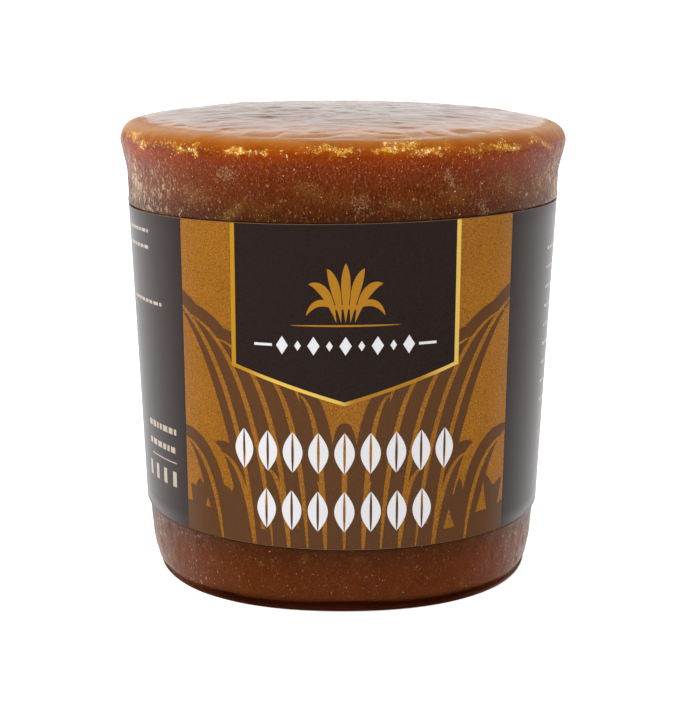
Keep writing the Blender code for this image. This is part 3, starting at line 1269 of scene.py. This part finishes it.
@dataclass
class PaperBand:
    """Paper strip glued round the wall, its ends lapped at the back."""

    casting: Casting
    gap: float = 0.3
    thickness: float = 0.25
    lap_width: float = 9.0
    lap_rise: float = 0.2
    edge_round: float = 0.07
    columns: int = 420
    rows: int = 24
    reach: float = 110.0

    @property
    def foot(self) -> float:
        """Height of the lower edge at the front."""
        return self.casting.band_foot

    @property
    def top(self) -> float:
        """Height of the upper edge at the front."""
        return self.casting.band_top

    def on_sheet(self, across: np.ndarray, height: np.ndarray, lift: np.ndarray) -> np.ndarray:
        """Places on the printed side.

        The distance across the paper divided by the radius at that height is the azimuth.

        Args:
            across: distance from the front middle along the paper, towards +X.
            height: height at the front middle's scale.
            lift: distance out from the paper's printed side.

        Returns:
            (..., 3) places.
        """
        reach = self.casting.wall_radius(height) + self.gap + self.thickness
        return self.casting.places(across / reach, reach + lift, height)

    def _columns(self) -> tuple[np.ndarray, np.ndarray]:
        """Azimuths round the strip, with close pairs at the lap's ends, and the lap's rise there."""
        half_lap = self.lap_width / 2 / self.casting.wall_radius_high
        fold = 0.05 / self.casting.wall_radius_high
        even = np.arange(self.columns) * 2 * np.pi / self.columns
        clear = even[np.abs(even - np.pi) > half_lap + 0.6 * fold]
        inside = np.pi + np.linspace(-half_lap, half_lap, 12)
        ends = np.array([np.pi - half_lap - fold, np.pi + half_lap + fold])
        azimuth = np.unique(np.concatenate((clear, inside, ends)))
        rise = self.lap_rise * (np.abs(azimuth - np.pi) <= half_lap + 1e-9)
        return azimuth, rise

    def build(self, ink: InkFinish, core: InkFinish, effects: Effects) -> None:
        """Build, dress and place the strip: printed outside, bare paper inside and on its edges.

        Args:
            ink: finish of the printed side.
            core: finish of the bare paper.
            effects: the shared node groups.
        """
        azimuth, rise = self._columns()
        heights = np.linspace(self.foot + self.edge_round, self.top - self.edge_round, self.rows)
        middle, tall = (self.top + self.foot) / 2, self.top - self.foot
        outside = [(self.thickness, h) for h in heights]
        over = [(self.thickness - self.edge_round, self.top), (0.0, self.top)]
        inside = [(0.0, middle + share * tall) for share in (0.25, 0.0, -0.25)]
        beneath = [(0.0, self.foot), (self.thickness - self.edge_round, self.foot)]
        loop = np.array(outside + over + inside + beneath)
        angle, out = np.meshgrid(azimuth, loop[:, 0])
        height = np.broadcast_to(loop[:, 1:2], angle.shape)
        raised = np.where(out > 0, rise[None, :], 0.0)
        reach = self.casting.wall_radius(height) + self.gap + out + raised
        places = self.casting.places(angle, reach, height)
        rows, columns = angle.shape
        faces = np.array(ring_faces(rows + 1, columns)) % (rows * columns)
        piece = new_piece("paper_strip", places.reshape(-1, 3), faces.tolist(), sharp_angle=50.0)
        ink.dress(piece, effects)
        core.dress(piece, effects)
        bare = np.repeat(np.arange(rows) >= self.rows - 1, columns)
        piece.data.polygons.foreach_set("material_index", bare.astype(np.int32))
        place(piece, "printed_paper", "paper_band")


@dataclass
class Printer:
    """Prints flat shapes onto the band as thin plates that follow its curve."""

    band: PaperBand
    effects: Effects
    strip: float = 1.0
    storey: float = 5.0
    film: float = 0.010
    layer: float = 0.014

    @staticmethod
    def _union(shapes: list[Outline]) -> bmesh.types.BMesh:
        """Flat triangle mesh of all that lies inside any of the shapes."""
        corners = [Vector(corner) for shape in shapes for corner in shape]
        starts = np.cumsum([0] + [len(shape) for shape in shapes])
        rings = [list(range(first, last)) for first, last in zip(starts[:-1], starts[1:])]
        points, _, triangles, _, _, covered = delaunay_2d_cdt(corners, [], rings, 1, 1e-4, True)
        flat = bmesh.new()
        made = [flat.verts.new((point.x, point.y, 0.0)) for point in points]
        for triangle, owners in zip(triangles, covered):
            if owners:
                flat.faces.new([made[index] for index in triangle])
        loose = [vertex for vertex in flat.verts if not vertex.link_faces]
        bmesh.ops.delete(flat, geom=loose, context="VERTS")
        return flat

    @staticmethod
    def _split(flat: bmesh.types.BMesh, axis: int, at: float, clear: int = 0) -> None:
        """Split a flat mesh along a line across an axis, and clear what lies past it.

        Args:
            flat: the mesh.
            axis: 0 for a line at one distance across, 1 for one at one height.
            at: where the line is.
            clear: 1 or -1 to clear what lies further or nearer along the axis, 0 to keep it all.
        """
        point, normal = [0.0] * 3, [0.0] * 3
        point[axis], normal[axis] = at, clear or 1
        everything = flat.verts[:] + flat.edges[:] + flat.faces[:]
        bmesh.ops.bisect_plane(
            flat, geom=everything, plane_co=point, plane_no=normal, clear_outer=bool(clear)
        )

    def _cut(self, shapes: list[Outline], limits: Limits) -> bmesh.types.BMesh:
        """Flat mesh of the shapes' union, kept inside the limits and cut into strips and storeys."""
        flat = self._union([counter_clockwise(shape) for shape in shapes])
        left, right, low, high = limits
        for axis, at, clear in ((0, left, -1), (0, right, 1), (1, low, -1), (1, high, 1)):
            self._split(flat, axis, at, clear)
        reach = [vertex.co.x for vertex in flat.verts]
        strips, storeys = (0, self.strip, min(reach), max(reach)), (1, self.storey, low, high)
        for axis, pitch, first, last in (strips, storeys):
            for step in range(math.ceil(first / pitch), math.floor(last / pitch) + 1):
                self._split(flat, axis, step * pitch)
        return flat

    def plate(
        self, name: str, shapes: list[Outline], ink: "Ink", level: int, limits: Limits | None = None
    ) -> None:
        """Print shapes in one ink, as a closed plate with its front on a layer's level.

        Args:
            name: piece name.
            shapes: closed outlines of (across, height) points.
            ink: which ink.
            level: how many inks lie under it, from 1.
            limits: left, right, low and high limits that the shapes are cut at.
        """
        limits = limits or (-self.band.reach, self.band.reach, self.band.foot + 0.3, self.band.top - 0.12)
        flat = self._cut(shapes, limits)
        flat.verts.index_update()
        corners = np.array([vertex.co[:] for vertex in flat.verts])
        fronts = [[vertex.index for vertex in face.verts] for face in flat.faces]
        rims = [
            (edge.link_loops[0].vert.index, edge.link_loops[0].link_loop_next.vert.index)
            for edge in flat.edges
            if len(edge.link_loops) == 1
        ]
        flat.free()
        count = len(corners)
        lift = np.full(count, level * self.layer)
        front = self.band.on_sheet(corners[:, 0], corners[:, 1], lift)
        back = self.band.on_sheet(corners[:, 0], corners[:, 1], lift - self.film)
        faces = fronts + [[index + count for index in reversed(face)] for face in fronts]
        faces += [[first, first + count, second + count, second] for first, second in rims]
        piece = new_piece(name, np.vstack((front, back)), faces, sharp_angle=30.0)
        ink.value.dress(piece, self.effects)
        place(piece, "printed_paper")


def counter_clockwise(shape: Outline) -> Outline:
    """The outline with its inside on the left: turned round where its signed area is negative."""
    following = np.roll(shape, -1, axis=0)
    area = np.sum(shape[:, 0] * following[:, 1] - following[:, 0] * shape[:, 1])
    return shape if area > 0 else shape[::-1]


def ribbon(path: Outline, half_width: np.ndarray) -> Outline:
    """Closed outline of a flat ribbon.

    Args:
        path: (n, 2) middle line.
        half_width: (n,) distance from the middle line to each side, 0 at a pointed end.

    Returns:
        Outline down one side and back up the other, with a pointed end once only.
    """
    run = np.gradient(path, axis=0)
    beside = np.column_stack((-run[:, 1], run[:, 0])) / np.linalg.norm(run, axis=1, keepdims=True)
    one = path + beside * half_width[:, None]
    other = path - beside * half_width[:, None]
    open_ends = half_width > 1e-6
    return np.vstack((one, other[open_ends][::-1]))


def bend(start: tuple, over: tuple, end: tuple, steps: int = 24) -> Outline:
    """Quadratic curve from start to end, drawn towards the point over it."""
    t = np.linspace(0, 1, steps)[:, None]
    return (1 - t) ** 2 * np.array(start) + 2 * t * (1 - t) * np.array(over) + t**2 * np.array(end)


def blade(start: tuple, over: tuple, end: tuple, width: float, widest: float = 0.35) -> Outline:
    """Long leaf blade along a bent line, pointed at both ends.

    The half width is the sine of pi times the share of the way, which is raised to a power so
    that the widest place falls where it should.

    Args:
        start: where the blade starts.
        over: place that its middle is drawn towards.
        end: where its tip is.
        width: its widest width.
        widest: share of the way at which it is that wide.

    Returns:
        Closed outline of the blade.
    """
    path = bend(start, over, end)
    share = np.linspace(0, 1, len(path)) ** (math.log(0.5) / math.log(widest))
    half = width / 2 * np.sin(np.pi * share) ** 0.8
    half[[0, -1]] = 0.0
    return ribbon(path, half)


def lens(middle: tuple, width: float, height: float, steps: int = 14) -> Outline:
    """Upright leaf shape between two arcs, as half a cosine wave on each side."""
    t = np.linspace(-1, 1, steps)
    out, up = width / 2 * np.cos(np.pi / 2 * t), middle[1] + height / 2 * t
    right, left = np.column_stack((middle[0] + out, up)), np.column_stack((middle[0] - out, up))
    return np.vstack((right, left[-2:0:-1]))


def block_shape(left: float, right: float, low: float, high: float) -> Outline:
    """Plain rectangle."""
    return np.array([(left, low), (right, low), (right, high), (left, high)])


class Ink(Enum):
    """The inks of the band's print."""

    DARK = InkFinish("dark_brown_ink", (0.0188, 0.0114, 0.0100), unevenness=0.25)
    OCHRE = InkFinish("ochre_ink", (0.222, 0.084, 0.0065), unevenness=0.70)
    BROWN = InkFinish("earth_brown_ink", (0.080, 0.033, 0.0115), unevenness=0.22)
    WHITE = InkFinish("white_ink", (0.545, 0.535, 0.545), unevenness=0.03)
    BRONZE = InkFinish("bronze_ink", (0.31, 0.135, 0.0055))
    BEIGE = InkFinish("beige_ink", (0.35, 0.29, 0.23))
    CORE = InkFinish("bare_paper", (0.20, 0.12, 0.07), roughness=0.6)
    GOLD = GoldInkFinish("gold_line_ink", half_width=19.0)


@dataclass(frozen=True)
class LeafTier:
    """One tier of long cane leaves across the panel.

    The places of its leaves run from -spread to spread.  At place 1 a root and a tip stand
    root_out and tip_out from the middle, and the tips' height above the band's foot grows from
    lowest in the middle to highest there.
    """

    count: int
    spread: float
    root_out: float
    tip_out: float
    lowest: float
    highest: float
    width: float

    def veins(self) -> "LeafTier":
        """The thin veins down the middle of this tier's leaves, a little shorter than they are."""
        lowest, highest = self.lowest - 1.5, self.highest - 1.5
        return replace(self, tip_out=self.tip_out * 0.985, lowest=lowest, highest=highest, width=0.9)


@dataclass
class FrontPanel:
    """Ochre panel on the front of the band, with a field of cane leaves printed on it."""

    printer: Printer
    left: float = -29.6
    right: float = 31.5
    middle: float = 0.45
    tiers: tuple[LeafTier, ...] = (
        LeafTier(11, 1.0, root_out=15.0, tip_out=40.0, lowest=22.0, highest=44.0, width=4.6),
        LeafTier(8, 0.9, root_out=24.0, tip_out=36.0, lowest=12.0, highest=19.0, width=4.4),
    )
    tufts: int = 8

    def limits(self) -> Limits:
        """Left, right, low and high limits of the panel, which runs from edge to edge of the band."""
        band = self.printer.band
        return self.left, self.right, band.foot + band.edge_round, band.top - band.edge_round

    def leaves(self, tier: LeafTier) -> list[Outline]:
        """Leaves of a tier, which rise from the ground and droop outwards."""
        foot = self.printer.band.foot
        leaves = []
        for share in np.linspace(-tier.spread, tier.spread, tier.count):
            root = (self.middle + tier.root_out * share, foot - 1.5)
            reach = tier.lowest + (tier.highest - tier.lowest) * abs(share) ** 0.8
            tip = (self.middle + tier.tip_out * share, foot + reach)
            over = (root[0] + 0.18 * (tip[0] - root[0]), foot + 1.02 * reach)
            leaves.append(blade(root, over, tip, tier.width, 0.38))
        return leaves

    def ground(self) -> list[Outline]:
        """Rolling ground along the foot of the panel, with tufts of three short blades on it."""
        foot = self.printer.band.foot
        across = np.linspace(self.left - 2.0, self.right + 2.0, 60)
        hills = foot + 4.2 + 1.3 * np.sin(across / 4.6 + 0.6) + 0.5 * np.sin(across / 1.7)
        low = np.full(len(across), foot - 1.0)
        shapes = [np.vstack((np.column_stack((across, low)), np.column_stack((across, hills))[::-1]))]
        for number, stand in enumerate(np.linspace(self.left + 3.0, self.right - 3.0, self.tufts)):
            for lean in (-2.2, 0.3, 2.6):
                tip = (stand + lean, foot + 9.5 + 1.5 * math.sin(2.3 * number + lean))
                shapes.append(blade((stand, foot + 2.0), (stand + 0.2 * lean, foot + 8.0), tip, 2.3, 0.4))
        return shapes

    def build(self) -> None:
        """Print the panel, then the ground and the two tiers of leaves with their veins."""
        limits = self.limits()
        self.printer.plate("ochre_panel", [block_shape(*limits)], Ink.OCHRE, 1, limits)
        field = self.ground() + [leaf for tier in self.tiers for leaf in self.leaves(tier)]
        self.printer.plate("cane_field", field, Ink.BROWN, 2, limits)
        veins = [vein for tier in self.tiers for vein in self.leaves(tier.veins())]
        self.printer.plate("cane_veins", veins, Ink.OCHRE, 3, limits)


@dataclass
class Shield:
    """Dark five-sided field that hangs from the band's upper edge, with a gold line round it.

    Drops are heights below the band's upper edge.
    """

    printer: Printer
    left: float = -18.9
    right: float = 20.0
    point: float = 0.4
    shoulder_drop: float = 23.95
    point_drop: float = 29.9
    line: float = 0.8
    ground_drop: float = 16.5
    ground_reach: float = 9.1
    frieze_drop: float = 19.85
    frieze_pitch: float = 2.6

    @property
    def middle(self) -> float:
        """Distance across of the field's middle."""
        return (self.left + self.right) / 2

    def _corners(self, inset: float) -> Outline:
        """Open line down the left side, round the point and up the right side, moved in by an inset."""
        top = self.printer.band.top
        lower = inset * 0.72
        shoulder = top - self.shoulder_drop + lower * 0.7
        left, right = self.left + inset, self.right - inset
        point = (self.point, top - self.point_drop + lower * 1.1)
        return np.array([(left, top), (left, shoulder), point, (right, shoulder), (right, top)])

    def cane_sheaf(self) -> list[Outline]:
        """Five blades and two side leaves of a cane sheaf, over a thin ground line with tapered ends."""
        ground = self.printer.band.top - self.ground_drop
        middle, reach = self.middle, self.ground_reach
        line = bend((middle - reach, ground), (middle, ground), (middle + reach, ground), 25)
        sheaf = [ribbon(line, 0.16 * np.sin(np.linspace(0, np.pi, len(line))) ** 0.5)]
        for number in range(-2, 3):
            root = middle + 0.75 * number
            tip = (middle + 3.0 * number, ground + 10.2 - 0.85 * number * number)
            sheaf.append(blade((root, ground + 0.5), (root + 0.7 * number, ground + 7.0), tip, 1.5, 0.55))
        for side in (-1, 1):
            root, over = (middle + 0.6 * side, ground + 2.2), (middle + 4.6 * side, ground + 5.6)
            sheaf.append(blade(root, over, (middle + 6.4 * side, ground + 1.6), 1.1, 0.5))
        sheaf.append(lens((middle, ground + 3.1), 4.6, 0.9))
        return sheaf

    def frieze(self) -> list[Outline]:
        """Row of small diamonds, large and small in turn, between two short rules."""
        level = self.printer.band.top - self.frieze_drop
        diamond = np.array([(0.0, -1.55), (1.0, 0.0), (0.0, 1.55), (-1.0, 0.0)])
        marks = []
        for number in range(-4, 5):
            size = 1.0 if number % 2 == 0 else 0.55
            marks.append(diamond * size + (self.middle + self.frieze_pitch * number, level))
        for side in (-1, 1):
            inner, outer = self.middle + 12.1 * side, self.middle + 15.2 * side
            marks.append(block_shape(min(inner, outer), max(inner, outer), level - 0.22, level + 0.22))
        return marks

    def build(self) -> None:
        """Print the field, its gold line, the sheaf and the frieze."""
        band = self.printer.band
        limits = (-band.reach, band.reach, band.foot, band.top - band.edge_round)
        outer, inner = self._corners(0.0), self._corners(self.line)
        self.printer.plate("shield_field", [outer], Ink.DARK, 4, limits)
        self.printer.plate("shield_gold_line", [np.vstack((outer, inner[::-1]))], Ink.GOLD, 5, limits)
        self.printer.plate("cane_sheaf", self.cane_sheaf(), Ink.BRONZE, 5)
        self.printer.plate("shield_frieze", self.frieze(), Ink.WHITE, 5)


@dataclass
class LeafRows:
    """Two rows of upright white leaves across the lower part of the front panel.

    Each row has its height below the band's upper edge, its count of leaves and their pitch.
    """

    printer: Printer
    middle: float = 0.45
    leaf_height: float = 7.0
    leaf_width: float = 2.9
    midrib: float = 0.22
    rows: tuple[tuple[float, int, float], ...] = ((38.0, 9, 4.3), (48.1, 7, 4.4))
    steps: int = 25

    def leaf(self) -> list[Outline]:
        """Upright leaf round (0, 0), in two halves beside an open midrib."""
        half = lens((0.0, 0.0), self.leaf_width, self.leaf_height, self.steps)[: self.steps]
        rib = self.midrib * np.cos(np.pi / 2 * np.linspace(-1, 1, self.steps)) ** 0.5
        outer, inner = np.column_stack((half[:, 0] + rib, half[:, 1])), np.column_stack((rib, half[:, 1]))
        right = np.vstack((outer, inner[-2:0:-1]))
        return [right, right * (-1, 1)]

    def build(self) -> None:
        """Print both rows."""
        shapes = []
        for drop, count, pitch in self.rows:
            for number in range(count):
                at = (self.middle + pitch * (number - (count - 1) / 2), self.printer.band.top - drop)
                shapes += [half + at for half in self.leaf()]
        self.printer.plate("white_leaf_rows", shapes, Ink.WHITE, 4)


@dataclass
class SideMarks:
    """Fine beige marks on the dark sides of the band: broken rows, rules and a row of tall bars.

    Each left row gives its two ends and its upper and lower edge below the band's upper edge.
    """

    printer: Printer
    seed: int = 19
    left_rows: tuple[Limits, ...] = (
        (-58.0, -40.0, 2.9, 3.5),
        (-56.0, -40.0, 5.8, 6.4),
        (-50.5, -36.0, 15.4, 16.0),
        (-43.3, -32.6, 37.5, 38.6),
        (-43.3, -33.1, 40.9, 42.0),
    )
    right_ends: tuple[float, float] = (46.0, 72.0)
    right_rows: int = 9
    right_pitch: float = 3.4

    @staticmethod
    def row(rng: np.random.Generator, left: float, right: float, low: float, high: float) -> list[Outline]:
        """Broken row of short bars of uneven length."""
        bars, at = [], left
        while at < right - 0.5:
            length = min(rng.uniform(0.6, 1.9), right - at)
            bars.append(block_shape(at, at + length, low, high))
            at += length + 0.45
        return bars

    def build(self) -> None:
        """Print the marks on both dark sides."""
        rng = np.random.default_rng(self.seed)
        top = self.printer.band.top
        marks = []
        for left, right, high, low in self.left_rows:
            marks += self.row(rng, left, right, top - low, top - high)
        marks.append(block_shape(-42.5, -32.7, top - 43.85, top - 43.65))
        for number in range(4):
            across = -44.0 + 3.3 * number
            marks.append(block_shape(across, across + 1.2, top - 48.2, top - 45.4))
        left, right = self.right_ends
        for number in range(self.right_rows):
            drop = self.right_pitch * number
            marks += self.row(rng, left, right, top - 8.0 - drop, top - 7.5 - drop)
        marks.append(block_shape(left, right, top - 41.0, top - 40.8))
        self.printer.plate("beige_side_marks", marks, Ink.BEIGE, 1)


# ---------------------------------------------------------------------------
# Studio
# ---------------------------------------------------------------------------


@dataclass
class SoftLight:
    """One soft area light aimed at the block."""

    name: str
    position: tuple[float, float, float]
    size: float
    power: float
    aim: tuple[float, float, float] = (0.0, 0.0, 0.04)

    def build(self) -> None:
        """Add the light, which brightens surfaces but isn't mirrored in them."""
        data = bpy.data.lights.new(self.name, "AREA")
        data.shape = "SQUARE"
        data.size = self.size
        data.energy = self.power
        lamp = bpy.data.objects.new(self.name, data)
        lamp.location = self.position
        lamp.rotation_euler = (Vector(self.aim) - Vector(self.position)).to_track_quat("-Z", "Y").to_euler()
        lamp.visible_glossy = False
        bpy.context.scene.collection.objects.link(lamp)


@dataclass
class Studio:
    """White surroundings behind the block, soft lights before it, a pale floor and the camera."""

    camera_distance: float = 0.2878
    camera_height: float = 0.0986
    camera_pitch: float = 11.98
    lens: float = 80.75
    sensor: float = 36.0
    floor_reach: float = 6.0
    fade: tuple[tuple[float, float], ...] = (
        (0.0, 0.0),
        (0.485, 0.004),
        (0.5525, 0.32),
        (0.621, 0.56),
        (0.7035, 0.76),
        (0.7725, 0.88),
        (0.84, 0.97),
        (0.90, 1.0),
    )
    lights: tuple[SoftLight, ...] = (
        SoftLight("left_key", (-0.95, -0.65, 0.50), 0.55, 8.2),
        SoftLight("right_fill", (0.80, -0.85, 0.50), 0.60, 4.5),
        SoftLight("left_side", (-1.10, -0.05, 0.35), 0.60, 4.4),
        SoftLight("right_side", (1.10, -0.05, 0.35), 0.60, 2.7),
        SoftLight("overhead", (0.0, -0.10, 1.00), 0.80, 5.5),
    )

    def world(self) -> None:
        """Light the block from surroundings that are white behind it and fade out before it."""
        surroundings = bpy.data.worlds.new("surroundings")
        surroundings.use_nodes = True
        tree = NodeTree(surroundings.node_tree)
        background = tree.tree.nodes["Background"]
        direction = tree.add("ShaderNodeTexCoord").outputs["Generated"]
        parts = tree.add("ShaderNodeSeparateXYZ", {0: direction}).outputs
        leftward = tree.times(tree.times(parts["X"], -0.10), tree.math("LESS_THAN", parts["X"], 0.0))
        above = tree.eased(parts["Z"], -0.75, -0.45, 0.10, 1.0)
        ceiling = tree.eased(parts["Z"], 0.36, 0.58, 1.0, 0.15)
        share = tree.share(tree.math("ADD", parts["Y"], leftward), -1.0, 1.0)
        tone = tree.ramp(share, [(at, (grey, grey, grey)) for at, grey in self.fade], smooth=False)
        dimmed = tree.scaled(tone, tree.times(above, ceiling))
        seen = tree.add("ShaderNodeLightPath").outputs["Is Camera Ray"]
        tree.join(tree.mix(seen, dimmed, (1.0, 1.0, 1.0, 1.0)), background.inputs["Color"])
        bpy.context.scene.world = surroundings

    def floor(self) -> None:
        """Plain pale floor, one flat sheet that whitens away from the block."""
        reach = self.floor_reach / MM
        corners = np.array([(-1, -1, 0), (1, -1, 0), (1, 1, 0), (-1, 1, 0)]) * reach
        sheet = new_piece("pale_floor", corners, [(0, 1, 2, 3)])
        look = Material("pale_floor")
        away = look.add("ShaderNodeVectorMath", {0: look.place}, operation="LENGTH").outputs["Value"]
        glow = look.mix(look.eased(away, 0.030, 0.037), (0.0, 0.0, 0.0, 1.0), (1.0, 1.0, 1.0, 1.0))
        look.feed(Emission_Color=glow)
        look.set(Base_Color=(0.93, 0.93, 0.925, 1.0), Roughness=0.9)
        look.set(Specular_IOR_Level=0.1, Emission_Strength=1.0)
        look.dress(sheet)
        sheet.visible_glossy = False

    def camera(self) -> None:
        """Camera before the block, looking a little down on it."""
        data = bpy.data.cameras.new("camera")
        data.lens = self.lens
        data.sensor_width = self.sensor
        data.clip_start = 0.01
        data.clip_end = 50.0
        view = bpy.data.objects.new("camera", data)
        view.location = (0.0, -self.camera_distance, self.camera_height)
        view.rotation_euler = (math.radians(90.0 - self.camera_pitch), 0.0, 0.0)
        bpy.context.scene.collection.objects.link(view)
        bpy.context.scene.camera = view

    def build(self) -> None:
        """Set up the camera, floor, surroundings and lights."""
        self.camera()
        self.floor()
        self.world()
        for light in self.lights:
            light.build()
        bpy.context.scene.view_settings.view_transform = "Standard"


def main() -> None:
    """Build the studio and the block, and report each piece."""
    logging.basicConfig(level=logging.INFO, format="%(name)s %(message)s")
    Studio().build()
    effects = Effects()
    casting = Casting.from_frame()
    sugar = CastSugarFinish("cast_sugar", bottom=0.0, top=casting.height)
    skin, crowd = JaggeryBlock(casting).build(sugar, effects)
    SugarCrystals().build(skin, crowd, CrystalFinish(), effects)
    band = PaperBand(casting)
    band.build(Ink.DARK.value, Ink.CORE.value, effects)
    printer = Printer(band, effects)
    FrontPanel(printer).build()
    Shield(printer).build()
    LeafRows(printer).build()
    SideMarks(printer).build()


if __name__ == "__main__":
    main()
